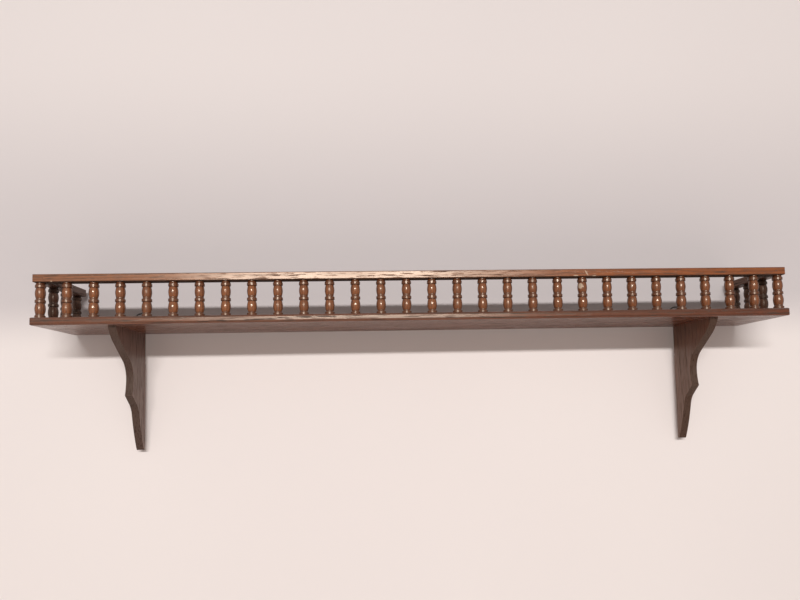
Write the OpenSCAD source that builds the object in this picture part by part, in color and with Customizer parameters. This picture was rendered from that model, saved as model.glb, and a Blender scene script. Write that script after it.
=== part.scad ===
// Wall plate rack: a shallow wooden shelf that hangs on a wall. A low gallery of turned spindles
// under a flat rail runs along its front and both ends, two sawn ogee brackets carry it, and two
// strap hangers with loose D rings, let in behind the brackets, hang it up.
//
// The origin is the middle of the board's back edge, on the wall. X runs along the wall to the
// viewer's right, Y runs into the wall, so that the front faces -Y, and Z runs up. Sizes are in mm.

/* [Board] */
// Length along the wall
board_l = 914; // [750:1:1200]
// Depth from the wall to the front edge
board_d = 106; // [86:1:140]
// Thickness
board_t = 9.5; // [8:0.5:16]
// Radius of the rounded front and end edges
board_edge_r = 3; // [1:0.5:3.5]
// Radius of the front corners, seen from above
board_corner_r = 3.5; // [1:0.5:10]

/* [Gallery] */
// Clear height from the board to the rail, which is the spindles' height between shoulders
gallery_h = 42; // [32:1:80]
// Spindles along the front, both corners counted
front_count = 30; // [10:1:36]
// Spindles along each end, the corner not counted
side_count = 3; // [1:1:4]
// From the board's ends to the axes of the corner spindles
corner_inset = 7.5; // [6:0.5:12]
// From the board's front edge to the axes of the front row
row_inset = 11; // [8:0.5:18]
// Gap between the wall and the widest part of the last spindle at each end
last_gap = 0.3; // [0.1:0.1:9]
// Width of the rail, seen from above
rail_w = 15; // [12:0.5:16]
// Thickness of the rail
rail_t = 9.4; // [7:0.1:14]
// From the board's ends to the rail's ends
rail_inset = 1.5; // [0:0.5:4]
// Radius of the rail's eased edges
rail_edge_r = 1; // [0.5:0.25:3]

/* [Spindles] */
// Radius of the collar that stands on the board
base_r = 5.9; // [5:0.1:6]
// Height of that collar, up to the neck above its cove
base_h = 4.4; // [3:0.1:6]
// Radius of the collar between the two barrels
middle_r = 5.9; // [5:0.1:6]
// Height of that collar, from its lip's underside up to the neck above its cove
middle_h = 5.1; // [4:0.1:7]
// How far that underside lies below half the spindle's height
middle_drop = 2.7; // [0:0.1:6]
// Radius of the collar under the rail
top_r = 5.9; // [5:0.1:6]
// Height of that collar, from its lip's underside up to the rail
top_h = 5.7; // [4:0.1:7]
// Height of the plain lip on each collar
lip_h = 2.9; // [0.5:0.1:3.5]
// Height of the undercut below the lips of the two upper collars
undercut_h = 0.5; // [0.3:0.1:1]
// Radius of the necks at the ends of the barrels
neck_r = 4.8; // [4:0.1:4.9]
// Radius of the neck against the rail
rail_neck_r = 4.9; // [4:0.1:4.9]
// Greatest radius of the lower barrel
lower_barrel_r = 5.9; // [5:0.1:6]
// Greatest radius of the upper barrel
upper_barrel_r = 5.8; // [5:0.1:6]
// Diameter of the tenon at each end
tenon_d = 5; // [4:0.1:6]
// Length of each tenon
tenon_l = 5; // [3:0.5:6]

/* [Brackets] */
// Height below the board
bracket_h = 154; // [125:1:220]
// Thickness
bracket_t = 9.5; // [8:0.5:16]
// From the board's ends to the middle of each bracket
bracket_inset = 91; // [40:1:250]
// From the board's front edge back to the start of the sawn profile
bracket_setback = 10; // [3:1:20]
// Slope of the profile where it leaves the board, in degrees from plumb
shoulder_slope = 25; // [10:1:40]
// Radius of the rounded shoulder
shoulder_r = 49; // [35:1:55]
// Slope of the straight run below the shoulder, in degrees from plumb
run_slope = 55; // [45:1:60]
// Radius of the hollow that brings the run down to the waist
hollow_r = 28; // [20:1:35]
// Depth of the bracket at its waist
waist_d = 40; // [32:1:45]
// Radius of the scoop from the waist out to the beak
scoop_r = 65; // [45:1:90]
// Slope of the scoop's end, in degrees from plumb
scoop_slope = 18; // [10:1:25]
// Height of the beak's blunt nose
nose_h = 1; // [0.5:0.1:3]
// Slope of the beak's underside, in degrees from plumb
beak_slope = 52; // [45:1:60]
// Length of the beak's straight underside
beak_run = 18; // [10:1:20]
// Radius of the hollow under the beak
under_r = 23; // [15:1:26]
// Slope where the long taper to the foot starts, in degrees from plumb
taper_slope = 15; // [8:1:20]
// Slope where that taper ends, in degrees from plumb
foot_slope = 28; // [15:1:35]
// Depth of the bracket where the foot's corner starts
foot_d = 3.5; // [3:0.5:8]
// Radius of the foot's front corner
foot_r = 2.5; // [1:0.5:3]

/* [Hangers] */
// Width of the strap
strap_w = 9; // [7:0.5:12]
// Thickness of the strap, also where it is rolled into the knuckle
strap_t = 1.2; // [0.8:0.1:2]
// Length of the strap below the board's top
strap_l = 50; // [44:1:80]
// Gap between the board's top and the knuckle
knuckle_gap = 0.3; // [0.2:0.1:2]
// Diameter of the ring's wire
wire_d = 2; // [1.5:0.1:3]
// Straight bar of the ring beyond the strap's width, both sides together
bar_spare = 5; // [2:0.5:12]
// Length of the ring's straight sides, between its bends and its round crown
ring_side_l = 2.5; // [0.5:0.5:15]
// Radius of the bends between the bar and the sides
ring_bend_r = 3; // [2:0.5:4]

/* [Screws and brads] */
// Shank of the screws that hold the brackets
board_screw_d = 3.5; // [3:0.1:4]
// Head of the screws that hold the brackets
board_screw_head_d = 7; // [6:0.1:8]
// Length of the screws that hold the brackets
board_screw_l = 25; // [20:1:35]
// From the wall to the back one of them
back_screw_d = 22; // [20:1:35]
// From the wall to the front one of them
front_screw_d = 62; // [40:1:70]
// Shank of the screws that hold the straps
strap_screw_d = 2.9; // [2.5:0.1:3.2]
// Head of the screws that hold the straps
strap_screw_head_d = 5.2; // [4.6:0.1:5.2]
// Length of the screws that hold the straps
strap_screw_l = 16; // [10:1:18]
// From the board's top down to the upper one of them
upper_screw_drop = 20; // [18:1:25]
// From the strap's lower end up to the lower one of them
lower_screw_rise = 10; // [6:1:18]
// Width of the driver's slot in every screw's head
slot_w = 0.9; // [0.7:0.1:1.2]
// Depth of that slot
slot_depth = 0.7; // [0.5:0.1:0.8]
// Diameter of the brads that pin the rail's corners
brad_d = 1.2; // [1:0.1:1.6]
// Length of those brads
brad_l = 25; // [20:1:30]
// From the end rail's inner face to the brad
brad_inset = 3.3; // [2:0.1:3.5]

/* [Fits] */
// Radial gap round a tenon, for the glue
tenon_fit = 0.1; // [0.05:0.05:0.2]
// Depth left under a tenon's end
tenon_gap = 0.5; // [0.2:0.1:1]
// Radial gap round a screw's shank and round a brad
screw_fit = 0.05; // [0:0.05:0.1]
// Gap beside and below a strap in its recess
strap_fit = 0.1; // [0.1:0.1:0.5]
// Radial play of a ring's bar in its knuckle
ring_play = 0.06; // [0.03:0.01:0.1]

/* [Hidden] */
board_top = board_t / 2;
row_y = -board_d + row_inset;
row_x = board_l / 2 - corner_inset;
front_pitch = 2 * row_x / (front_count - 1);
spindle_r = max(base_r, middle_r, top_r, lower_barrel_r, upper_barrel_r);
side_pitch = (-row_y - spindle_r - last_gap) / side_count;

rail_l = board_l - 2 * rail_inset;
rail_z = board_top + gallery_h + rail_t / 2;
rail_back_y = row_y + rail_w / 2;
side_rail_x = rail_l / 2 - rail_w / 2;
brad_x = rail_l / 2 - rail_w + brad_inset;

bracket_x = board_l / 2 - bracket_inset;
bracket_reach = board_d - bracket_setback;
shoulder_depth = shoulder_r * (cos(shoulder_slope) - cos(run_slope));
hollow_depth = hollow_r * (1 - cos(run_slope));
run_l = (bracket_reach - shoulder_depth - hollow_depth - waist_d) / sin(run_slope);

// The ring's width, its crown's radius, how far the crown's centre is from the bar, and its height,
// all between the middles of the wire
ring_w = strap_w + bar_spare + 2 * ring_bend_r;
crown_r = ring_w / 2;
crown_y = ring_bend_r + ring_side_l;
ring_h = crown_y + crown_r;
knuckle_r = wire_d / 2 + ring_play + strap_t;
knuckle_z = board_top + knuckle_gap + knuckle_r;
// A hanging ring leans back until its crown touches the wall
ring_lean = asin((knuckle_r - wire_d / 2) / ring_h);

tenon_chamfer = 0.5;
// How far a cut runs past the face that it opens
past = 1;

board_colour = "#7d4a2e";
rail_colour = "#8f5a33";
spindle_colour = "#85522f";
bracket_colour = "#6b3d26";
hanger_colour = "#3a3230";
screw_colour = "#8c8470";

function numbered(stem, count) = [for (i = [1:count]) str(stem, count > 9 && i < 10 ? "0" : "", i)];

front_names = numbered("front_spindle_", front_count);
left_names = numbered("left_spindle_", side_count);
right_names = numbered("right_spindle_", side_count);

// ---------- Shared forms ----------

// Extrudes a section drawn as (y, z) along X, centred on the origin
module along_x(l) {
    rotate([90, 0, 90])
        linear_extrude(l, center = true)
            children();
}

// Extrudes a section drawn as (x, z) from the wall out to the front
module along_y(l) {
    rotate([90, 0, 0])
        linear_extrude(l)
            children();
}

// A rectangle from x = -w to 0, centred in y, with round corners at its -x end
module front_rounded(w, t, r) {
    translate([-w + r, -t / 2])
        square([w - r, t]);
    translate([-w, -t / 2 + r])
        square([w, t - 2 * r]);
    for (side = [-1, 1])
        translate([-w + r, side * (t / 2 - r)])
            circle(r, $fn = 48);
}

// A rectangle centred on the origin, with all its corners round
module all_rounded(w, t, r) {
    square([w - 2 * r, t], center = true);
    square([w, t - 2 * r], center = true);
    for (x = [-1, 1], y = [-1, 1])
        translate([x * (w / 2 - r), y * (t / 2 - r)])
            circle(r, $fn = 48);
}

// Half the section of a countersunk screw, from the rim of its flush head down to its point
function screw_half(shank_r, head_r, l) = [
    [head_r, 0],
    [shank_r, shank_r - head_r],
    [shank_r, -l + 2 * shank_r],
    [0, -l]
];

// A countersunk screw that points down, with the top of its slotted head at the origin
module screw(shank_d, head_d, l) {
    difference() {
        rotate_extrude($fn = 48)
            polygon(concat([[0, 0]], screw_half(shank_d / 2, head_d / 2, l)));
        translate([-head_d / 2 - past, -slot_w / 2, -slot_depth])
            cube([head_d + 2 * past, slot_w, slot_depth + past]);
    }
}

// The hole and the countersink for that screw
module screw_hole(shank_d, head_d, l) {
    rotate_extrude($fn = 48)
        polygon(concat([[0, past], [head_d / 2, past]],
                       screw_half(shank_d / 2 + screw_fit, head_d / 2, l + screw_fit)));
}

// Puts its children at both board screws of a bracket, side -1 on the left and 1 on the right
module at_board_screws(side) {
    for (d = [back_screw_d, front_screw_d])
        translate([side * bracket_x, -d, board_top])
            children();
}

// Puts its children at both screws of a strap, turned to point away from the wall
module at_strap_screws(side) {
    for (drop = [upper_screw_drop, strap_l - lower_screw_rise])
        translate([side * bracket_x, 0, board_top - drop])
            rotate([-90, 0, 0])
                children();
}

module board_screw_holes(side) {
    at_board_screws(side)
        screw_hole(board_screw_d, board_screw_head_d, board_screw_l);
}

module strap_screw_holes(side) {
    at_strap_screws(side)
        screw_hole(strap_screw_d, strap_screw_head_d, strap_screw_l);
}

// The recess for a strap in what stands against the wall, w wide, from the board's top down
module strap_recess(side, w) {
    bottom = board_top - strap_l - strap_fit;
    translate([side * bracket_x - w / 2, -strap_t, bottom])
        cube([w, strap_t + past, strap_l + strap_fit + past]);
}

// ---------- Turned spindles ----------

// A cove that sweeps from radius r0 at height z0, level, to radius r1 at height z1, upright
function cove(r0, z0, r1, z1, steps = 5) = [
    for (i = [0:steps])
        let (a = 90 * i / steps)
        [r0 + (r1 - r0) * sin(a), z0 + (z1 - z0) * (1 - cos(a))]
];

// A barrel from radius r0 at height z0 to radius r1 at height z1, swelling to r in between
function barrel(r0, z0, r1, z1, r, steps = 8) = [
    for (i = [0:steps])
        let (t = i / steps, line = r0 + (r1 - r0) * t)
        [line + (r - (r0 + r1) / 2) * sin(180 * t), z0 + (z1 - z0) * t]
];

// A collar of radius r whose lip starts at height z0, with a cove above it that ends at r1, z1
function collar(r, z0, r1, z1) = concat([[r, z0]], cove(r, z0 + lip_h, r1, z1));

function upside_down(points) = [for (i = [len(points) - 1:-1:0]) points[i]];

middle_z = gallery_h / 2 - middle_drop;
top_z = gallery_h - top_h;
spindle_half = concat(
    [[tenon_d / 2, 0]],
    collar(base_r, 0, neck_r, base_h),
    barrel(neck_r, base_h, neck_r, middle_z - undercut_h, lower_barrel_r),
    collar(middle_r, middle_z, neck_r, middle_z + middle_h),
    barrel(neck_r, middle_z + middle_h, neck_r, top_z - undercut_h, upper_barrel_r),
    collar(top_r, top_z, rail_neck_r, gallery_h),
    [[tenon_d / 2, gallery_h]]
);

// A barrel and its cove end on the same neck, so that point is kept only once
spindle_outline = [
    for (i = [0:len(spindle_half) - 1])
        if (i == 0 || norm(spindle_half[i] - spindle_half[i - 1]) > 0.001) spindle_half[i]
];

// A tenon's end, below the shoulder at height z and pointing the way of side
function tenon_end(z, side) = [
    [tenon_d / 2, z + side * (tenon_l - tenon_chamfer)],
    [tenon_d / 2 - tenon_chamfer, z + side * tenon_l],
    [0, z + side * tenon_l]
];

// A spindle standing on the origin, with a tenon at each end
module spindle() {
    color(spindle_colour)
        rotate_extrude($fn = 48)
            polygon(concat(
                upside_down(tenon_end(0, -1)),
                spindle_outline,
                tenon_end(gallery_h, 1)
            ));
}

function front_place(i) = [-row_x + i * front_pitch, row_y, board_top];
function side_place(side, i) = [side * row_x, row_y + (i + 1) * side_pitch, board_top];

module front_spindle(i) {
    translate(front_place(i))
        spindle();
}

module side_spindle(side, i) {
    translate(side_place(side, i))
        spindle();
}

// The blind holes for every spindle's tenons at one height, up (1) or down (-1) from there
module tenon_holes(z, side) {
    front_places = [for (i = [0:front_count - 1]) front_place(i)];
    side_places = [for (s = [-1, 1], i = [0:side_count - 1]) side_place(s, i)];
    depth = tenon_l + tenon_gap;
    for (place = concat(front_places, side_places))
        translate([place.x, place.y, side > 0 ? z - past : z - depth])
            cylinder(h = depth + past, d = tenon_d + 2 * tenon_fit, $fn = 48);
}

// ---------- Board and rails ----------

module shelf_board() {
    color(board_colour)
        difference() {
            intersection() {
                along_x(board_l)
                    front_rounded(board_d, board_t, board_edge_r);
                along_y(board_d)
                    all_rounded(board_l, board_t, board_edge_r);
                linear_extrude(board_t, center = true)
                    rotate(90)
                        front_rounded(board_d, board_l, board_corner_r);
            }
            tenon_holes(board_top, -1);
            for (side = [-1, 1]) {
                board_screw_holes(side);
                strap_recess(side, strap_w + 2 * strap_fit);
            }
        }
}

module brad_holes() {
    for (side = [-1, 1])
        translate([side * brad_x, rail_back_y - rail_w - past, rail_z])
            rotate([-90, 0, 0])
                cylinder(h = brad_l + past, d = brad_d + 2 * screw_fit, $fn = 24);
}

module front_rail() {
    color(rail_colour)
        difference() {
            translate([0, rail_back_y, rail_z])
                intersection() {
                    along_x(rail_l)
                        translate([-rail_w / 2, 0])
                            all_rounded(rail_w, rail_t, rail_edge_r);
                    along_y(rail_w)
                        all_rounded(rail_l, rail_t, rail_edge_r);
                    linear_extrude(rail_t, center = true)
                        rotate(90)
                            front_rounded(rail_w, rail_l, rail_edge_r);
                }
            tenon_holes(board_top + gallery_h, 1);
            brad_holes();
        }
}

// An end rail, from the wall to the back of the front rail
module side_rail(side) {
    color(rail_colour)
        difference() {
            translate([side * side_rail_x, 0, rail_z])
                along_y(-rail_back_y)
                    all_rounded(rail_w, rail_t, rail_edge_r);
            tenon_holes(board_top + gallery_h, 1);
            brad_holes();
        }
}

module left_rail() {
    side_rail(-1);
}

module right_rail() {
    side_rail(1);
}

module rail_corner_brads() {
    color(screw_colour)
        for (side = [-1, 1])
            translate([side * brad_x, rail_back_y - rail_w, rail_z])
                rotate([-90, 0, 0])
                    cylinder(h = brad_l, d = brad_d, $fn = 24);
}

// ---------- Sawn brackets ----------
// The profile is drawn as (depth from the wall, drop below the board). Slopes are in degrees
// from plumb, and a slope leads back to the wall as it goes down.

// A straight run of length l from point p
function run(p, slope, l) = [p, p + l * [-sin(slope), cos(slope)]];

// An arc of radius r from point p that turns from one slope to another
function arc(p, slope0, slope1, r, steps) = [
    for (i = [0:steps])
        let (a = slope0 + (slope1 - slope0) * i / steps, turn = sign(slope1 - slope0))
        p + r * turn * [cos(a) - cos(slope0), sin(a) - sin(slope0)]
];

// A smooth curve from point p to point q that leaves p at one slope and meets q at another
function sweep(p, slope_p, q, slope_q, steps) = [
    for (i = [0:steps])
        let (t = i / steps,
             pull = norm(q - p) / 3,
             a = p + pull * [-sin(slope_p), cos(slope_p)],
             b = q - pull * [-sin(slope_q), cos(slope_q)])
        (1 - t) ^ 3 * p + 3 * t * (1 - t) ^ 2 * a + 3 * t ^ 2 * (1 - t) * b + t ^ 3 * q
];

function last(points) = points[len(points) - 1];
function after_first(points) = [for (i = [1:len(points) - 1]) points[i]];

shoulder = arc([bracket_reach, 0], shoulder_slope, run_slope, shoulder_r, 10);
long_run = run(last(shoulder), run_slope, run_l);
hollow = arc(last(long_run), run_slope, 0, hollow_r, 14);
scoop = arc(last(hollow), 0, -scoop_slope, scoop_r, 10);
nose = run(last(scoop), 0, nose_h);
beak = run(last(nose), beak_slope, beak_run);
under_beak = arc(last(beak), beak_slope, taper_slope, under_r, 10);
foot_start = [foot_d, bracket_h - foot_r * (1 - sin(foot_slope))];
taper = sweep(last(under_beak), taper_slope, foot_start, foot_slope, 14);
foot = arc(foot_start, foot_slope, 90, foot_r, 6);

bracket_outline = concat(
    [[0, 0]],
    shoulder,
    after_first(long_run),
    after_first(hollow),
    after_first(scoop),
    after_first(nose),
    after_first(beak),
    after_first(under_beak),
    after_first(taper),
    after_first(foot),
    [[0, bracket_h]]
);

module bracket(side) {
    color(bracket_colour)
        difference() {
            translate([side * bracket_x, 0, -board_t / 2])
                along_x(bracket_t)
                    rotate(180)
                        polygon(bracket_outline);
            strap_recess(side, bracket_t + 2 * past);
            board_screw_holes(side);
            strap_screw_holes(side);
        }
}

module left_bracket() {
    bracket(-1);
}

module right_bracket() {
    bracket(1);
}

module bracket_screws(side) {
    color(screw_colour)
        at_board_screws(side)
            screw(board_screw_d, board_screw_head_d, board_screw_l);
}

module left_bracket_screws() {
    bracket_screws(-1);
}

module right_bracket_screws() {
    bracket_screws(1);
}

// ---------- Hangers ----------

// A flat strap with a round lower end, its top rolled into a knuckle round the ring's bar
module hanger_strap(side) {
    color(hanger_colour)
        difference() {
            translate([side * bracket_x, 0, 0]) {
                along_y(strap_t) {
                    translate([-strap_w / 2, board_top - strap_l + strap_w / 2])
                        square([strap_w, knuckle_z - board_top + strap_l - strap_w / 2]);
                    translate([0, board_top - strap_l + strap_w / 2])
                        circle(strap_w / 2, $fn = 48);
                }
                translate([0, -knuckle_r, knuckle_z])
                    along_x(strap_w)
                        circle(knuckle_r, $fn = 48);
            }
            translate([side * bracket_x, -knuckle_r, knuckle_z])
                along_x(strap_w + 2 * past)
                    circle(wire_d / 2 + ring_play, $fn = 48);
            strap_screw_holes(side);
        }
}

module left_hanger_strap() {
    hanger_strap(-1);
}

module right_hanger_strap() {
    hanger_strap(1);
}

module hanger_screws(side) {
    color(screw_colour)
        at_strap_screws(side)
            screw(strap_screw_d, strap_screw_head_d, strap_screw_l);
}

module left_hanger_screws() {
    hanger_screws(-1);
}

module right_hanger_screws() {
    hanger_screws(1);
}

// A bend of the ring's wire in the XY plane, round the origin, from angle a on
module wire_bend(r, a, sweep_a) {
    rotate(a)
        rotate_extrude(angle = sweep_a, $fn = 96)
            translate([r, 0])
                circle(wire_d / 2, $fn = 48);
}

// A D ring flat in the XY plane, with the middle of its bar at the origin and its crown at +Y
module d_ring() {
    translate([0, crown_y])
        wire_bend(crown_r, 0, 180);
    for (side = [-1, 1]) {
        translate([side * crown_r, ring_bend_r])
            rotate([-90, 0, 0])
                cylinder(h = ring_side_l, d = wire_d, $fn = 48);
        translate([side * (crown_r - ring_bend_r), ring_bend_r])
            wire_bend(ring_bend_r, side > 0 ? 270 : 180, 90);
    }
    along_x(strap_w + bar_spare)
        circle(wire_d / 2, $fn = 48);
}

module hanger_ring(side) {
    color(hanger_colour)
        translate([side * bracket_x, -knuckle_r, knuckle_z])
            rotate([90 - ring_lean, 0, 0])
                d_ring();
}

module left_hanger_ring() {
    hanger_ring(-1);
}

module right_hanger_ring() {
    hanger_ring(1);
}

// ---------- The nodes ----------

shelf_board();
front_rail();
left_rail();
right_rail();
rail_corner_brads();
for (i = [0:front_count - 1])
    front_spindle(i);
for (i = [0:side_count - 1])
    side_spindle(-1, i);
for (i = [0:side_count - 1])
    side_spindle(1, i);
left_bracket();
right_bracket();
left_bracket_screws();
right_bracket_screws();
left_hanger_strap();
right_hanger_strap();
left_hanger_screws();
right_hanger_screws();
left_hanger_ring();
right_hanger_ring();
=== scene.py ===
# %% [markdown]
# # A wall plate rack, finished in Blender
# The rack is a shallow oak board with a rail on turned spindles round its front and ends, two sawn
# brackets below it and two wire loops behind it. Its shape comes ready-made from the CAD model, true to
# the tenth of a millimetre. So this lesson models almost nothing: it sets up the camera, the wall and the
# light, and then builds the finishes, because stain, grain, gloss and wear are what the CAD model lacks.

# %% Load the frame
import math

import bpy
from mathutils import Matrix, Vector

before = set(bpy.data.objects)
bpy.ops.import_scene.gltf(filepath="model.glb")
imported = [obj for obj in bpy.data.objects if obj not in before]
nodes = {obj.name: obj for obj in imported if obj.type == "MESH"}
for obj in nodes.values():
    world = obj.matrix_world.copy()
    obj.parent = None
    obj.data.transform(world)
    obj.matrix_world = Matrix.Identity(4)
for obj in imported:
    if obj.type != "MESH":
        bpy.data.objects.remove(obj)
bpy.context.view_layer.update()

# %% [markdown]
# ## The camera
# The photograph was taken from a little left of the middle and from below the board, looking slightly
# up. A pinhole camera was fitted to the rack's own corners and spindles, which gives the place, the three
# angles and the focal length below. The object stands high in the photograph's frame, so the frame is
# shifted instead of the camera being tilted, which would make the verticals lean.

# %% Camera
PICTURE_WIDTH = 800
FOCAL_PIXELS = 609.72
CAMERA_PLACE = Vector((-0.0584, -0.8282, -0.1003))
CAMERA_YAW = 0.0456
CAMERA_PITCH = 0.0660
CAMERA_ROLL = -0.0194
FRAME_SHIFT = 60.28

view_line = Vector((math.sin(CAMERA_YAW) * math.cos(CAMERA_PITCH),
                    math.cos(CAMERA_YAW) * math.cos(CAMERA_PITCH),
                    math.sin(CAMERA_PITCH)))
level_right = Vector((math.cos(CAMERA_YAW), -math.sin(CAMERA_YAW), 0.0))
level_up = level_right.cross(view_line)
camera_right = math.cos(CAMERA_ROLL) * level_right + math.sin(CAMERA_ROLL) * level_up
camera_up = math.cos(CAMERA_ROLL) * level_up - math.sin(CAMERA_ROLL) * level_right

lens = bpy.data.cameras.new("photo_camera")
lens.sensor_width = 36.0
lens.lens = FOCAL_PIXELS * lens.sensor_width / PICTURE_WIDTH
lens.shift_y = FRAME_SHIFT / PICTURE_WIDTH
camera = bpy.data.objects.new("photo_camera", lens)
turn = Matrix((camera_right, camera_up, -view_line)).transposed()
camera.matrix_world = Matrix.Translation(CAMERA_PLACE) @ turn.to_4x4()
bpy.context.scene.collection.objects.link(camera)
bpy.context.scene.camera = camera
print("lens %.1f mm, shift %.3f" % (lens.lens, lens.shift_y))

# %% [markdown]
# ## Small helpers for node trees
# A material is a tree of nodes. Written out in full, each node takes four or five lines, and the tree is
# lost among them. `node` makes one node and feeds its inputs, from a number or from another node's
# output, so that a line of code reads as a step of the finish.

# %% Node helpers
def feed(tree, value, socket):
    """Links another node's output to a socket, or sets the socket to a plain value."""
    if isinstance(value, bpy.types.NodeSocket):
        tree.links.new(value, socket)
    else:
        socket.default_value = value


def node(tree, kind, feeds=None, **settings):
    """Adds one node, sets its settings and feeds its inputs, which are named or numbered."""
    made = tree.nodes.new("ShaderNode" + kind)
    for name, value in settings.items():
        setattr(made, name, value)
    for name, value in (feeds or {}).items():
        feed(tree, value, made.inputs[name])
    return made


def sum_of(tree, operation, first, second=0.0, clamp=False):
    """One step of arithmetic."""
    return node(tree, "Math", {0: first, 1: second}, operation=operation, use_clamp=clamp).outputs[0]


def soft_step(tree, value, start, end, low=0.0, high=1.0):
    """Goes smoothly from low to high while value goes from start to end."""
    feeds = {"Value": value, "From Min": start, "From Max": end, "To Min": low, "To Max": high}
    return node(tree, "MapRange", feeds, interpolation_type="SMOOTHSTEP").outputs[0]


def mix_colours(tree, share, first, second, way="MIX"):
    """The first colour with a share of the second in it."""
    return node(tree, "Mix", {0: share, 6: first, 7: second}, data_type="RGBA", blend_type=way).outputs[2]


def noise(tree, place, stretch, detail=2.0, roughness=0.55):
    """Cloudy noise from 0 to 1. stretch is how many clouds fit in a metre along each axis."""
    scaled = node(tree, "VectorMath", {0: place, 1: stretch}, operation="MULTIPLY").outputs[0]
    feeds = {"Vector": scaled, "Scale": 1.0, "Detail": detail, "Roughness": roughness}
    return node(tree, "TexNoise", feeds).outputs[0]


def faces_along(tree, axis):
    """How far a face looks along the X, Y or Z axis, from -1 to 1."""
    return node(tree, "SeparateXYZ", {0: node(tree, "NewGeometry").outputs["Normal"]}).outputs[axis]


def new_group(name, inputs, outputs):
    """An empty node group. Inputs are (name, kind, value) and outputs are (name, kind)."""
    group = bpy.data.node_groups.new(name, "ShaderNodeTree")
    for label, kind, value in inputs:
        socket = group.interface.new_socket(label, in_out="INPUT", socket_type="NodeSocket" + kind)
        if value is not None:
            socket.default_value = value
    for label, kind in outputs:
        group.interface.new_socket(label, in_out="OUTPUT", socket_type="NodeSocket" + kind)
    entry = group.nodes.new("NodeGroupInput")
    leave = group.nodes.new("NodeGroupOutput")
    return group, entry.outputs, leave.inputs


def use_group(tree, group, **feeds):
    """Places a group in a tree. Its input names are written with _ for a space."""
    placed = tree.nodes.new("ShaderNodeGroup")
    placed.node_tree = group
    for name, value in feeds.items():
        feed(tree, value, placed.inputs[name.replace("_", " ")])
    return placed.outputs


# %% [markdown]
# ## Oak grain
# Oak has rings, and along each ring a band of open pores that stain collects in. On a sawn face the rings
# show as wandering bands and the pores as thin dark dashes along the grain. An image would repeat and
# would have to be wrapped round every turned spindle. So the group works in space: it measures how far a
# point is from the heart of the tree, counts the rings, and stretches noise along the grain. Place is in
# metres with the grain along its X, and the same group serves boards, brackets and spindles.

# %% Group: oak grain
grain_inputs = [("Place", "Vector", None), ("Ring width", "Float", 0.004), ("Wander", "Float", 0.004),
                ("Pore length", "Float", 0.03), ("Pore width", "Float", 0.0012)]
grain_outputs = [("Early wood", "Float"), ("Pores", "Float"), ("Fibre", "Float"), ("Height", "Float")]
oak_grain, grain_in, grain_out = new_group("oak_grain", grain_inputs, grain_outputs)

DRIFTS_PER_METRE = (4.0, 22.0, 22.0)
DRIFT_GAIN = 4.0
HEART_OFFSET = (0.0, 0.035, 0.09)
ACROSS_GRAIN = (0.0, 1.0, 1.0)
place = grain_in["Place"]
drift = noise(oak_grain, place, DRIFTS_PER_METRE, detail=1.5)
drift = sum_of(oak_grain, "MULTIPLY", sum_of(oak_grain, "SUBTRACT", drift, 0.5), grain_in["Wander"])
drift = sum_of(oak_grain, "MULTIPLY", drift, DRIFT_GAIN)
from_heart = node(oak_grain, "VectorMath", {0: place, 1: HEART_OFFSET}, operation="ADD").outputs[0]
from_heart = node(oak_grain, "VectorMath", {0: from_heart, 1: ACROSS_GRAIN},
                  operation="MULTIPLY").outputs[0]
distance = node(oak_grain, "VectorMath", {0: from_heart}, operation="LENGTH").outputs["Value"]
ring = sum_of(oak_grain, "DIVIDE", sum_of(oak_grain, "ADD", distance, drift), grain_in["Ring width"])
ring = sum_of(oak_grain, "FRACT", ring)
early = sum_of(oak_grain, "MULTIPLY", soft_step(oak_grain, ring, 0.0, 0.08),
               soft_step(oak_grain, ring, 0.15, 0.7, 1.0, 0.0))

PORE_FROM, PORE_FULLY = 0.54, 0.62
LATE_PORES = 0.6
FIBRES_PER_PORE = 2.7
FIBRE_HEIGHT = 0.35
EARLY_DEPTH = 0.08
along = sum_of(oak_grain, "DIVIDE", 1.0, grain_in["Pore length"])
across = sum_of(oak_grain, "DIVIDE", 1.0, grain_in["Pore width"])
stretch = node(oak_grain, "CombineXYZ", {0: along, 1: across, 2: across}).outputs[0]
dashes = noise(oak_grain, place, stretch, detail=2.0)
pores = sum_of(oak_grain, "MULTIPLY", soft_step(oak_grain, dashes, PORE_FROM, PORE_FULLY),
               soft_step(oak_grain, early, 0.0, 0.8, LATE_PORES, 1.0))
fine = node(oak_grain, "VectorMath", {0: stretch, "Scale": FIBRES_PER_PORE}, operation="SCALE").outputs[0]
fibre = noise(oak_grain, place, fine, detail=3.0, roughness=0.65)
height = sum_of(oak_grain, "SUBTRACT", sum_of(oak_grain, "MULTIPLY", fibre, FIBRE_HEIGHT), pores)
height = sum_of(oak_grain, "SUBTRACT", height, sum_of(oak_grain, "MULTIPLY", early, EARLY_DEPTH))
feed(oak_grain, early, grain_out["Early wood"])
feed(oak_grain, pores, grain_out["Pores"])
feed(oak_grain, fibre, grain_out["Fibre"])
feed(oak_grain, height, grain_out["Height"])
print("group", oak_grain.name, "has", len(oak_grain.nodes), "nodes")

# %% [markdown]
# ## Rubbed edges and painted recess shade
# Hands and dusters thin the stain on every sharp edge, and every groove gets painted shade. On the
# brackets the pale edges also stand in for a painted highlight.
# Painting that by hand on fifty pieces would take a day. Two of Blender's nodes find the places by
# themselves: Bevel asks how a rounded edge would face, which differs from the real face only near an
# edge, and Ambient Occlusion asks how shut in a point is. Both look only at the piece itself.

# %% Group: edges and recesses
wear_inputs = [("Place", "Vector", None), ("Edge size", "Float", 0.0008), ("Recess size", "Float", 0.004)]
edge_wear, wear_in, wear_out = new_group("edge_wear", wear_inputs, [("Edge", "Float"), ("Recess", "Float")])

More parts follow.
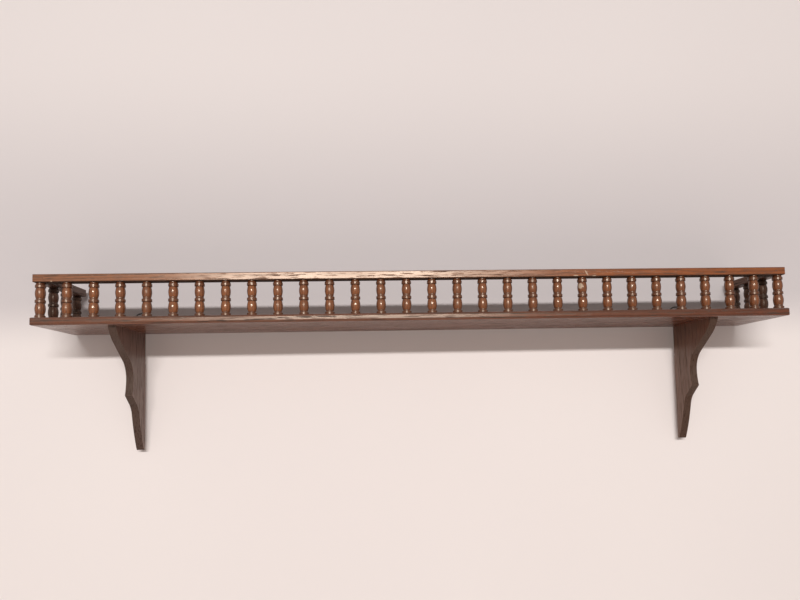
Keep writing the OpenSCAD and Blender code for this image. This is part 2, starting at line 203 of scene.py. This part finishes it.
# Agreement is the cosine between the two ways of facing, and openness is 1 where nothing shuts a point in.
PATCHES_PER_METRE = (60.0, 140.0, 140.0)
EDGE_FROM, EDGE_FULLY = 0.97, 0.84
OPEN_FROM, OPEN_FULLY = 0.6, 0.9
RECESS_FROM, RECESS_FULLY = 0.92, 0.45
facing = node(edge_wear, "NewGeometry").outputs["Normal"]
rounded = node(edge_wear, "Bevel", {"Radius": wear_in["Edge size"]}, samples=4).outputs[0]
agree = node(edge_wear, "VectorMath", {0: facing, 1: rounded}, operation="DOT_PRODUCT").outputs["Value"]
open_share = node(edge_wear, "AmbientOcclusion", {"Distance": wear_in["Recess size"]},
                  samples=6, only_local=True).outputs["AO"]
patchy = soft_step(edge_wear, noise(edge_wear, wear_in["Place"], PATCHES_PER_METRE), 0.3, 0.65)
edge = soft_step(edge_wear, agree, EDGE_FROM, EDGE_FULLY)
edge = sum_of(edge_wear, "MULTIPLY", edge, soft_step(edge_wear, open_share, OPEN_FROM, OPEN_FULLY))
feed(edge_wear, sum_of(edge_wear, "MULTIPLY", edge, patchy), wear_out["Edge"])
feed(edge_wear, soft_step(edge_wear, open_share, RECESS_FROM, RECESS_FULLY), wear_out["Recess"])
print("group", edge_wear.name, "has", len(edge_wear.nodes), "nodes")

# %% [markdown]
# ## Dust
# A rack on a wall is dusted from above, and not often. The film lies on what faces up and is thin and
# cloudy. The group gives a mask only: each finish decides how much paler and duller its dusty part is.

# %% Group: dust
dust_film, dust_in, dust_out = new_group("dust_film", [("Place", "Vector", None)], [("Mask", "Float")])

DUST_PER_METRE = (45.0, 45.0, 45.0)
LEVEL_FROM, LEVEL_FULLY = 0.35, 0.95
cloudy = noise(dust_film, dust_in["Place"], DUST_PER_METRE, detail=6.0, roughness=0.7)
film = sum_of(dust_film, "MULTIPLY",
              soft_step(dust_film, faces_along(dust_film, "Z"), LEVEL_FROM, LEVEL_FULLY),
              soft_step(dust_film, cloudy, 0.3, 0.75))
feed(dust_film, film, dust_out["Mask"])
print("group", dust_film.name, "has", len(dust_film.nodes), "nodes")

# %% [markdown]
# ## Chips and scratches
# This rack has a chip on one spindle, scuffs on the rail near it and a bare speck at the rail's left end.
# Each is an ellipse on the front of the piece, given by its centre and its half width and half height in
# metres. Noise makes its outline ragged.

# %% Chips and scratches
TEETH_PER_METRE = (900.0, 900.0, 900.0)


def mark(tree, place, x, z, wide, high, lean):
    """A mask of one small mark round X and Z, on the front only. lean turns it, in degrees."""
    moved = node(tree, "VectorMath", {0: place, 1: (-x, 0.0, -z)}, operation="ADD").outputs[0]
    feeds = {"Vector": moved, "Angle": math.radians(lean)}
    turned = node(tree, "VectorRotate", feeds, rotation_type="Y_AXIS").outputs[0]
    scaled = node(tree, "VectorMath", {0: turned, 1: (1.0 / wide, 0.0, 1.0 / high)},
                  operation="MULTIPLY").outputs[0]
    reach = node(tree, "VectorMath", {0: scaled}, operation="LENGTH").outputs["Value"]
    ragged = noise(tree, place, TEETH_PER_METRE, detail=2.0)
    reach = sum_of(tree, "ADD", reach, sum_of(tree, "SUBTRACT", ragged, 0.5))
    front = soft_step(tree, faces_along(tree, "Y"), -0.2, -0.5)
    return sum_of(tree, "MULTIPLY", soft_step(tree, reach, 1.0, 0.7), front)


def marks(tree, place, all_marks):
    """The masks of several marks as one."""
    shown = 0.0
    for one in all_marks:
        shown = sum_of(tree, "MAXIMUM", shown, mark(tree, place, *one))
    return shown


# %% [markdown]
# ## Which way the grain runs
# The grain group wants the grain along X, but spindles and brackets stand upright and the end rails run
# from front to back. The CAD pieces stay where they are, so their coordinates are turned instead. Pieces
# that share a finish would also look cut from the same wood, so each can be shifted to wood of its own.

# %% Grain direction
AXES_FROM_GRAIN = {"X": (0, 1, 2), "Y": (1, 0, 2), "Z": (2, 0, 1)}
SHIFT_REACH = (7.0, 1.3, 0.7)


def grain_place(tree, along, loose):
    """The place in metres, plain and with the grain along its X. loose shifts each piece by chance."""
    spot = node(tree, "TexCoord").outputs["Object"]
    parts = node(tree, "SeparateXYZ", {0: spot}).outputs
    first, second, third = AXES_FROM_GRAIN[along]
    place = node(tree, "CombineXYZ", {0: parts[first], 1: parts[second], 2: parts[third]}).outputs[0]
    if loose:
        chance = node(tree, "ObjectInfo").outputs["Random"]
        shift = node(tree, "VectorMath", {0: SHIFT_REACH, "Scale": chance}, operation="SCALE").outputs[0]
        place = node(tree, "VectorMath", {0: place, 1: shift}, operation="ADD").outputs[0]
    return spot, place


# %% [markdown]
# ## Stain
# Stain sinks deepest where wood is open, so it is darker in the early wood and darkest in the pores. Slow
# clouds and fine fibres keep the tone uneven between them, and no two loose pieces take it alike.

# %% Stain
CLOUDS_PER_METRE = (5.0, 30.0, 30.0)
EARLY_SHARE = 0.55
CLOUD_SHARE = 0.35
FIBRE_SHARES = (-0.2, 0.35)
CHANCE_SHARE = 0.5
PORE_SHARE = 0.85


def stain(tree, grain, clouds, pale, dark, pore, loose):
    """The stain's colour. Rings, clouds and fibres shift it from the pale to the dark tone."""
    tone = sum_of(tree, "MULTIPLY", grain["Early wood"], EARLY_SHARE)
    tone = sum_of(tree, "ADD", tone, soft_step(tree, clouds, 0.3, 0.7, 0.0, CLOUD_SHARE))
    fibres = soft_step(tree, grain["Fibre"], 0.3, 0.7, *FIBRE_SHARES)
    tone = sum_of(tree, "ADD", tone, fibres, clamp=True)
    colour = mix_colours(tree, tone, (*pale, 1.0), (*dark, 1.0))
    if loose:
        chance = node(tree, "ObjectInfo").outputs["Random"]
        colour = mix_colours(tree, sum_of(tree, "MULTIPLY", chance, CHANCE_SHARE), colour, (*dark, 1.0))
    return mix_colours(tree, sum_of(tree, "MULTIPLY", grain["Pores"], PORE_SHARE), colour, (*pore, 1.0))


# %% [markdown]
# ## Dark lines, sawn faces and painted shade below
# These follow where a place is and which way it faces, so masks can find them. Dark lines run along the
# rail's edges and round the spindles' collars; the collars' lines and the rail's lower line are painted
# shade. Sawn faces drank more stain than planed ones. Faces that look down get painted shade.

# %% Dark lines, sawn faces and grime
LINE_OUTSIDE = 0.0006
LINE_INSIDE = 0.0002
LINE_SHARE = 0.75
SAWN_FROM, SAWN_FULLY = 0.8, 0.3
DOWNWARD_FROM, DOWNWARD_FULLY = -0.3, -0.8


def line_mask(tree, height, low, high):
    """A mask of the heights from low to high, in metres, that fades at both."""
    above = soft_step(tree, height, low - LINE_OUTSIDE, low + LINE_INSIDE)
    below = soft_step(tree, height, high - LINE_INSIDE, high + LINE_OUTSIDE, LINE_SHARE, 0.0)
    return sum_of(tree, "MULTIPLY", above, below)


def sawn_mask(tree, sawn):
    """A mask of what doesn't face sideways. sawn is its full value."""
    sideways = sum_of(tree, "ABSOLUTE", faces_along(tree, "X"))
    return soft_step(tree, sideways, SAWN_FROM, SAWN_FULLY, 0.0, sawn)


def downward_shade_mask(tree, shade_below):
    """A mask of painted shade on what faces down. shade_below is its full value."""
    return soft_step(tree, faces_along(tree, "Z"), DOWNWARD_FROM, DOWNWARD_FULLY, 0.0, shade_below)


# %% [markdown]
# ## Stained and varnished wood
# All the wood has one recipe: the stain, what the years have laid over it or rubbed off, painted shade
# and a painted sheen, and varnish that fills the pores only in part. A brushed satin varnish scatters the
# lamp into a broad streaky glare, and the pores cut it into lines. So the bump comes from the same grain
# as the colour. Only the tones, the sizes and the way the grain runs differ between the pieces, so they
# are the function's arguments.

# %% Wood finish
SLANT_FROM, SLANT_FULLY = 0.35, 0.85
SHEEN_UP_TO, RIGHT_HALF_FROM = 0.0, 0.27
DOWNWARD_SHADE_TONE = 0.6
RUBBED_GAIN = 1.5
RUBBED_LIFT = 0.03
DUST_COLOUR = (0.42, 0.38, 0.34, 1.0)
DUST_SHARE = 0.16
BARE_WOOD = (0.50, 0.37, 0.26, 1.0)
BARE_SHARE = 0.85
# How much roughness each of these adds to the varnish.
DULL_PORES = 0.4
DULL_DUST = 0.25
DULL_DOWNWARD = 0.6
DULL_BARE = 0.5
DULL_SAWN = 0.35
DULL_CLOUDS = (-0.05, 0.07)
GRAIN_DEPTH = 0.0002
VARNISH_TINT = (1.0, 0.86, 0.70, 1.0)


def varnished_wood(name, along, pale, dark, pore, gloss, shine=0.5, ring_width=0.004, pore_length=0.02,
                   pore_width=0.0013, wander=0.004, bump=0.2, loose=False, edge=0.25, recess_shade=0.7,
                   sawn=0.0, slant_shade=0.0, shade_below=0.0, right_half_tint=(0.93, 0.70, 0.45), dark_lines=(),
                   all_marks=()):
    """Makes one wood finish.

    gloss is the varnish's roughness on a bare ring, and shine is how strongly it reflects. slant_shade
    paints shade on what is seen at a slant, recess_shade in recesses and shade_below on what faces down,
    which it also dulls. sawn darkens and dulls what doesn't face sideways, and right_half_tint darkens the
    right half, which leaves a painted sheen on the left.
    """
    finish = bpy.data.materials.new(name)
    finish.use_nodes = True
    tree = finish.node_tree
    shader = tree.nodes["Principled BSDF"]
    spot, place = grain_place(tree, along, loose)
    grain = use_group(tree, oak_grain, Place=place, Ring_width=ring_width, Wander=wander,
                      Pore_length=pore_length, Pore_width=pore_width)
    wear = use_group(tree, edge_wear, Place=place)
    dust = use_group(tree, dust_film, Place=spot)["Mask"]
    clouds = noise(tree, place, CLOUDS_PER_METRE, detail=2.0)
    sawn_faces = sawn_mask(tree, sawn)
    downward_shade = downward_shade_mask(tree, shade_below)
    bare = marks(tree, spot, all_marks)
    parts = node(tree, "SeparateXYZ", {0: spot}).outputs

    colour = stain(tree, grain, clouds, pale, dark, pore, loose)
    between = tuple(0.5 * (d + p) for d, p in zip(dark, pore))
    # Dark lines at the heights in dark_lines: round the spindles' collars and at the rail's lower edge they
    # are painted shade.
    for low, high in dark_lines:
        colour = mix_colours(tree, line_mask(tree, parts["Z"], low, high), colour, (*between, 1.0))
    colour = mix_colours(tree, sawn_faces, colour, (*pore, 1.0))
    if slant_shade:
        # Painted shade: the colour is darkened towards the pore tone where a face is seen at a slant, so
        # silhouettes look dark.
        slant = node(tree, "LayerWeight", {"Blend": 0.5}).outputs["Facing"]
        slant = soft_step(tree, slant, SLANT_FROM, SLANT_FULLY, 0.0, slant_shade)
        colour = mix_colours(tree, slant, colour, (*pore, 1.0))
    # Painted sheen: the right half is darkened to a deeper orange, so the left half looks paler, as under a
    # veil of reflected light.
    right_half = soft_step(tree, parts["X"], SHEEN_UP_TO, RIGHT_HALF_FROM)
    colour = mix_colours(tree, right_half, colour, (*right_half_tint, 1.0), "MULTIPLY")
    # Painted shade on faces that look down.
    colour = mix_colours(tree, downward_shade, colour, (*(DOWNWARD_SHADE_TONE * c for c in pore), 1.0))
    # Paler rubbed edges: wear, and on the brackets also a painted highlight along the arrises.
    rubbed_and_highlit = tuple(min(1.0, RUBBED_GAIN * c + RUBBED_LIFT) for c in pale)
    colour = mix_colours(tree, sum_of(tree, "MULTIPLY", wear["Edge"], edge), colour, (*rubbed_and_highlit, 1.0))
    # Painted shade in recesses, such as the spindles' necks.
    colour = mix_colours(tree, sum_of(tree, "MULTIPLY", wear["Recess"], recess_shade), colour, (*pore, 1.0))
    colour = mix_colours(tree, sum_of(tree, "MULTIPLY", dust, DUST_SHARE), colour, DUST_COLOUR)
    if all_marks:
        colour = mix_colours(tree, sum_of(tree, "MULTIPLY", bare, BARE_SHARE), colour, BARE_WOOD)
    feed(tree, colour, shader.inputs["Base Color"])

    dull = sum_of(tree, "MULTIPLY", grain["Pores"], DULL_PORES)
    duller = ((dust, DULL_DUST), (downward_shade, DULL_DOWNWARD), (bare, DULL_BARE), (sawn_faces, DULL_SAWN))
    for mask, amount in duller:
        dull = sum_of(tree, "ADD", dull, sum_of(tree, "MULTIPLY", mask, amount))
    dull = sum_of(tree, "ADD", dull, soft_step(tree, clouds, 0.3, 0.7, *DULL_CLOUDS))
    feed(tree, sum_of(tree, "ADD", dull, gloss, clamp=True), shader.inputs["Roughness"])
    bumps = node(tree, "Bump", {"Height": grain["Height"], "Distance": GRAIN_DEPTH, "Strength": bump})
    feed(tree, bumps.outputs[0], shader.inputs["Normal"])
    shader.inputs["Specular IOR Level"].default_value = shine
    shader.inputs["Specular Tint"].default_value = VARNISH_TINT
    return finish


# %% [markdown]
# ## Dressing a piece
# Each CAD piece is found by its name in model.glb, and a finish replaces its materials. The mesh
# under it stays as the CAD model made it.


def dress(finish, names):
    """Gives CAD pieces their finish through their material slots. Their meshes stay as they are."""
    for name in names:
        piece = nodes[name]
        piece.data.materials.clear()
        piece.data.materials.append(finish)
    print(finish.name, "on", len(names), "pieces")


# %% [markdown]
# ## The board and the rails
# The board's front edge is a red brown and the rail a shade paler and more orange, as oak from two planks
# takes one stain. The rail has a dark line along both edges, the lower one painted shade, and painted shade
# on what faces down. The grain runs along each piece, so the end rails need a finish turned to run from
# front to back. Theirs is darker, because the photograph shows their inner faces almost black: the darker
# tones are painted shade. Tones are those of pale wood, dark wood and pores.

# %% Board and rails
BOARD_TONES = ((0.150, 0.046, 0.022), (0.080, 0.023, 0.011), (0.024, 0.009, 0.006))
board_wood = varnished_wood("board_wood", "X", *BOARD_TONES, gloss=0.25, shine=0.78,
                            right_half_tint=(0.80, 0.58, 0.40))
dress(board_wood, ["shelf_board"])

# A mark is its centre's X and Z, its half width and half height, and its lean.
RAIL_MARKS = [(0.2050, 0.0512, 0.0009, 0.0042, 30.0), (0.1915, 0.0480, 0.0034, 0.0007, 0.0),
              (0.2145, 0.0475, 0.0030, 0.0005, 4.0), (-0.4335, 0.0474, 0.0011, 0.0009, 0.0)]
# The rail's dark lines: the lower one is painted shade under the rail, the upper one runs along its top
# edge.
RAIL_LINES = [(0.0462, 0.0476), (0.0556, 0.0568)]
RAIL_TONES = ((0.285, 0.106, 0.047), (0.16, 0.055, 0.023), (0.042, 0.016, 0.009))
# shade_below paints shade on the rail's underside.
rail_wood = varnished_wood("rail_wood", "X", *RAIL_TONES, gloss=0.24, shine=0.62, edge=0.1,
                           shade_below=0.9, dark_lines=RAIL_LINES, all_marks=RAIL_MARKS)
dress(rail_wood, ["front_rail"])
# Darker tones stand for painted shade on the end rails.
SHADED_END_RAIL_TONES = ((0.13, 0.055, 0.034), (0.075, 0.030, 0.018), (0.022, 0.010, 0.008))
shaded_end_rail_wood = varnished_wood("shaded_end_rail_wood", "Y", *SHADED_END_RAIL_TONES, gloss=0.36, loose=True)
dress(shaded_end_rail_wood, ["left_rail", "right_rail"])

# %% [markdown]
# ## The spindles
# They are turned from straight sticks, so the grain runs up them and the turning cuts it into long ovals
# on the barrels. Turned wood is smoother than sawn wood and these were dipped, which leaves a tighter
# gloss: one bright spot on each barrel and a spark on each collar. Painted shade darkens the collars, the
# necks and the silhouettes. Every stick has its own tone, and the end rows are darker still, as painted
# shade.

# %% Spindles
CHIP = [(0.1980, 0.0356, 0.0026, 0.0040, 0.0)]
# Painted shade: dark bands round the collars, between these heights in metres.
COLLAR_SHADE = [(0.00475, 0.0096), (0.0219, 0.0287), (0.0401, 0.04675)]
# slant_shade and recess_shade paint shade on the silhouettes and in the necks.
TURNED = dict(ring_width=0.0028, pore_length=0.012, pore_width=0.0007, wander=0.0012, bump=0.06,
              loose=True, edge=0.0, recess_shade=0.45, slant_shade=0.75, right_half_tint=(0.86, 0.78, 0.64),
              dark_lines=COLLAR_SHADE)
SPINDLE_TONES = ((0.30, 0.096, 0.030), (0.15, 0.044, 0.015), (0.040, 0.015, 0.009))
spindle_wood = varnished_wood("spindle_wood", "Z", *SPINDLE_TONES, gloss=0.22, shine=0.75,
                              all_marks=CHIP, **TURNED)
dress(spindle_wood, [name for name in sorted(nodes) if name.startswith("front_spindle_")])
# Darker tones stand for painted shade on the end rows of spindles.
SHADED_END_SPINDLE_TONES = ((0.13, 0.052, 0.030), (0.07, 0.027, 0.016), (0.020, 0.009, 0.007))
shaded_end_spindle_wood = varnished_wood("shaded_end_spindle_wood", "Z", *SHADED_END_SPINDLE_TONES, gloss=0.36, **TURNED)
dress(shaded_end_spindle_wood, [name for name in sorted(nodes) if "_spindle_" in name and "front" not in name])

# %% [markdown]
# ## The brackets
# They are sawn from a darker board with the grain upright. The sides are planed and varnished, and show
# the pale wall in their gloss at this flat angle. The sawn outline is end grain in part. It soaks up more
# stain and stays rougher. Their pale edges are wear and a painted highlight along the arrises.

# %% Brackets
BRACKET_TONES = ((0.125, 0.050, 0.033), (0.075, 0.029, 0.019), (0.028, 0.012, 0.009))
# edge=0.5 gives pale edges: wear, and a painted highlight along the arrises.
bracket_wood = varnished_wood("bracket_wood", "Z", *BRACKET_TONES, gloss=0.36, shine=0.8, loose=True,
                              pore_length=0.025, edge=0.5, sawn=0.8)
dress(bracket_wood, ["left_bracket", "right_bracket"])

# %% [markdown]
# ## The hangers and screws
# The straps and loops are steel in a dark brown lacquer that has worn through to grey metal on the edges.
# The screws are dull zinc, and the brads in the rail are stained over, so that no bright dot shows. All
# use the edge group again, and the metal has fine scratches instead of grain.

# %% Metal finish
BLOTCHES_PER_METRE = (420.0, 420.0, 420.0)
SCRATCHES_PER_METRE = (2600.0, 2600.0, 150.0)
METAL_RECESS = 0.002
WORN_FROM, WORN_FULLY = 0.68, 0.74
METAL_RECESS_DARK = (0.02, 0.015, 0.012, 1.0)
METAL_RECESS_DARK_SHARE = 0.6
METAL_DUST_COLOUR = (0.38, 0.35, 0.31, 1.0)
METAL_DUST_SHARE = 0.2
METAL_DULL_DUST = 0.2
SCRATCH_DEPTH = 0.0001


def aged_metal(name, colour, worn_colour, metallic, worn_metallic, gloss, edge_size):
    """Makes one metal finish with worn edges, dark recesses, fine scratches and a little dust."""
    finish = bpy.data.materials.new(name)
    finish.use_nodes = True
    tree = finish.node_tree
    shader = tree.nodes["Principled BSDF"]
    spot = node(tree, "TexCoord").outputs["Object"]
    wear = use_group(tree, edge_wear, Place=spot, Edge_size=edge_size, Recess_size=METAL_RECESS)
    dust = use_group(tree, dust_film, Place=spot)["Mask"]
    blotch = noise(tree, spot, BLOTCHES_PER_METRE, detail=5.0, roughness=0.65)
    scratches = noise(tree, spot, SCRATCHES_PER_METRE, detail=2.0)
    worn = sum_of(tree, "MAXIMUM", wear["Edge"], soft_step(tree, blotch, WORN_FROM, WORN_FULLY))
    darker = tuple(0.5 * c for c in colour)
    tint = mix_colours(tree, soft_step(tree, blotch, 0.3, 0.7, 0.0, 0.5), (*colour, 1.0), (*darker, 1.0))
    tint = mix_colours(tree, worn, tint, (*worn_colour, 1.0))
    # Darker in recesses.
    tint = mix_colours(tree, sum_of(tree, "MULTIPLY", wear["Recess"], METAL_RECESS_DARK_SHARE), tint, METAL_RECESS_DARK)
    tint = mix_colours(tree, sum_of(tree, "MULTIPLY", dust, METAL_DUST_SHARE), tint, METAL_DUST_COLOUR)
    feed(tree, tint, shader.inputs["Base Color"])
    feed(tree, soft_step(tree, worn, 0.0, 1.0, metallic, worn_metallic), shader.inputs["Metallic"])
    rough = sum_of(tree, "ADD", soft_step(tree, blotch, 0.3, 0.7, gloss - 0.07, gloss + 0.1),
                   sum_of(tree, "MULTIPLY", dust, METAL_DULL_DUST), clamp=True)
    feed(tree, rough, shader.inputs["Roughness"])
    height = sum_of(tree, "ADD", sum_of(tree, "MULTIPLY", scratches, 0.5), blotch)
    bumps = node(tree, "Bump", {"Height": height, "Distance": SCRATCH_DEPTH, "Strength": 0.3})
    feed(tree, bumps.outputs[0], shader.inputs["Normal"])
    return finish


# %% [markdown]
# ## Three metals
# The lacquer isn't metallic but the steel under it is, so the straps and loops turn metallic where they
# are worn. The screws are metallic all over, and the stained brads only a little where they are worn.

# %% Metals
hanger_steel = aged_metal("hanger_steel", (0.030, 0.022, 0.018), worn_colour=(0.30, 0.28, 0.26),
                          metallic=0.0, worn_metallic=1.0, gloss=0.38, edge_size=0.0003)
dress(hanger_steel, ["left_hanger_strap", "right_hanger_strap", "left_hanger_ring", "right_hanger_ring"])
screw_steel = aged_metal("screw_steel", (0.42, 0.40, 0.36), worn_colour=(0.62, 0.60, 0.56),
                         metallic=0.9, worn_metallic=1.0, gloss=0.42, edge_size=0.0002)
dress(screw_steel, [name for name in sorted(nodes) if name.endswith("_screws")])
stained_brad = aged_metal("stained_brad", (0.085, 0.034, 0.018), worn_colour=(0.14, 0.07, 0.04),
                          metallic=0.0, worn_metallic=0.2, gloss=0.42, edge_size=0.0002)
dress(stained_brad, ["rail_corner_brads"])

# %% [markdown]
# ## The wall and floor
# The photograph shows a pale cloth close behind the rack, which catches the shadows of the board and the
# rail and shows again in the gloss of the underside. One plain curved sweep stands for it: a wall a
# centimetre behind the rack that bends forward into a floor far below.

# %% Sweep
WALL_GAP = 0.010
WALL_TOP = 1.6
BEND_TOP = -0.25
BEND_RADIUS = 0.95
BEND_STEPS = 24
FLOOR_FRONT = -4.0
HALF_WIDTH = 4.0

profile = [(WALL_GAP, WALL_TOP)]
for step in range(BEND_STEPS + 1):
    angle = math.radians(90.0 * step / BEND_STEPS)
    forward = BEND_RADIUS * (1.0 - math.cos(angle))
    down = BEND_RADIUS * math.sin(angle)
    profile.append((WALL_GAP - forward, BEND_TOP - down))
profile.append((FLOOR_FRONT, BEND_TOP - BEND_RADIUS))
corners = [(side * HALF_WIDTH, y, z) for y, z in profile for side in (-1.0, 1.0)]
faces = [(2 * i, 2 * i + 2, 2 * i + 3, 2 * i + 1) for i in range(len(profile) - 1)]
sweep_mesh = bpy.data.meshes.new("sweep")
sweep_mesh.from_pydata(corners, [], faces)
sweep_mesh.update()
for face in sweep_mesh.polygons:
    face.use_smooth = True
sweep = bpy.data.objects.new("sweep", sweep_mesh)
bpy.context.scene.collection.objects.link(sweep)
print("sweep's wall faces", [round(c, 2) for c in sweep_mesh.polygons[0].normal])

# %% [markdown]
# ## The cloth
# The cloth is matt and almost even. From the board's height up it is darker with painted shade, most of
# all just above the rail. Geometry's Backfacing makes it clear from behind, so that a view of the rack's
# back isn't blocked.

# %% Cloth
CLOTH_PALE = (0.87, 0.79, 0.75, 1.0)
CLOTH_DARK = (0.84, 0.76, 0.725, 1.0)
CLOTH_SHADE = (0.63, 0.572, 0.562, 1.0)
FOLDS_PER_METRE = (2.2, 2.2, 1.2)
SHADE_FROM, SHADE_FULLY = -0.03, 0.05
SHADE_FALLS_FROM, SHADE_FALLS_TO, SHADE_ABOVE = 0.1, 0.4, 0.4

pale_cloth = bpy.data.materials.new("pale_cloth")
pale_cloth.use_nodes = True
tree = pale_cloth.node_tree
tree.nodes.remove(tree.nodes["Principled BSDF"])
spot = node(tree, "TexCoord").outputs["Object"]
folds = noise(tree, spot, FOLDS_PER_METRE, detail=1.0)
level = node(tree, "SeparateXYZ", {0: spot}).outputs["Z"]
# Painted shade on the wall from the board's height up.
wall_shade = sum_of(tree, "MULTIPLY", soft_step(tree, level, SHADE_FROM, SHADE_FULLY),
                     soft_step(tree, level, SHADE_FALLS_FROM, SHADE_FALLS_TO, 1.0, SHADE_ABOVE))
tint = mix_colours(tree, soft_step(tree, folds, 0.3, 0.7), CLOTH_PALE, CLOTH_DARK)
tint = mix_colours(tree, wall_shade, tint, CLOTH_SHADE)
matt = node(tree, "BsdfDiffuse", {"Color": tint}).outputs[0]
behind = node(tree, "NewGeometry").outputs["Backfacing"]
clear = node(tree, "BsdfTransparent").outputs[0]
one_sided = node(tree, "MixShader", {0: behind, 1: matt, 2: clear}).outputs[0]
feed(tree, one_sided, tree.nodes["Material Output"].inputs["Surface"])
sweep_mesh.materials.append(pale_cloth)
print(pale_cloth.name, "has", len(tree.nodes), "nodes")

# %% [markdown]
# ## The lamp
# The shadows tell where the lamp was: three metres off, a little to the left and about fifteen degrees
# above the rack, because the board's shadow ends three centimetres below its back edge. It was wide,
# since no spindle throws a shadow of its own, and low, since the board's shadow is crisp.

# %% Lamp
def add_lamp(name, place, aim, watts, wide, high):
    """A rectangular lamp that shines from place towards aim."""
    lamp = bpy.data.lights.new(name, "AREA")
    lamp.shape = "RECTANGLE"
    lamp.size = wide
    lamp.size_y = high
    lamp.energy = watts
    made = bpy.data.objects.new(name, lamp)
    made.location = place
    made.rotation_euler = (Vector(aim) - Vector(place)).to_track_quat("-Z", "Y").to_euler()
    bpy.context.scene.collection.objects.link(made)
    print(name, "of", watts, "W at", place)
    return made


add_lamp("key_lamp", place=(-0.165, -3.1, 0.79), aim=(0.0, -0.05, -0.03), watts=72.0, wide=1.75, high=0.12)

# %% [markdown]
# ## The room's light
# The rest is an even, dim light from the room, which is the world in Blender. The camera and the gloss of
# the varnish should see a paler room than the one that lights the rack, and Light Path tells them apart.

# %% Room
ROOM_LIGHT = (0.28, 0.27, 0.265, 1.0)
ROOM_SEEN = (0.64, 0.605, 0.59, 1.0)

world = bpy.data.worlds.new("room")
world.use_nodes = True
bpy.context.scene.world = world
tree = world.node_tree
seen = node(tree, "LightPath").outputs
pale_seen = sum_of(tree, "MAXIMUM", seen["Is Camera Ray"],
                   sum_of(tree, "MAXIMUM", seen["Is Glossy Ray"], seen["Is Transmission Ray"]))
room = mix_colours(tree, pale_seen, ROOM_LIGHT, ROOM_SEEN)
feed(tree, room, tree.nodes["Background"].inputs["Color"])
bpy.context.scene.view_settings.view_transform = "Standard"
print("room lights with", ROOM_LIGHT[:3], "and is seen as", ROOM_SEEN[:3])

# %% [markdown]
# ## A lamp for the back
# The wall would keep the rack's back in the dark when it is looked at from behind. Light linking solves
# that: this lamp lights only the rack, and only the rack can shade it, so the wall lets it pass. It
# stands far away and straight behind, so that it grazes the faces that the front view shows.

# %% Back lamp
rack_pieces = bpy.data.collections.new("rack_pieces")
for piece in nodes.values():
    rack_pieces.objects.link(piece)
back_lamp = add_lamp("back_lamp", place=(0.0, 3.0, 0.7), aim=(0.0, 0.0, -0.03), watts=12.0,
                     wide=0.8, high=0.8)
back_lamp.visible_glossy = False
back_lamp.light_linking.receiver_collection = rack_pieces
back_lamp.light_linking.blocker_collection = rack_pieces
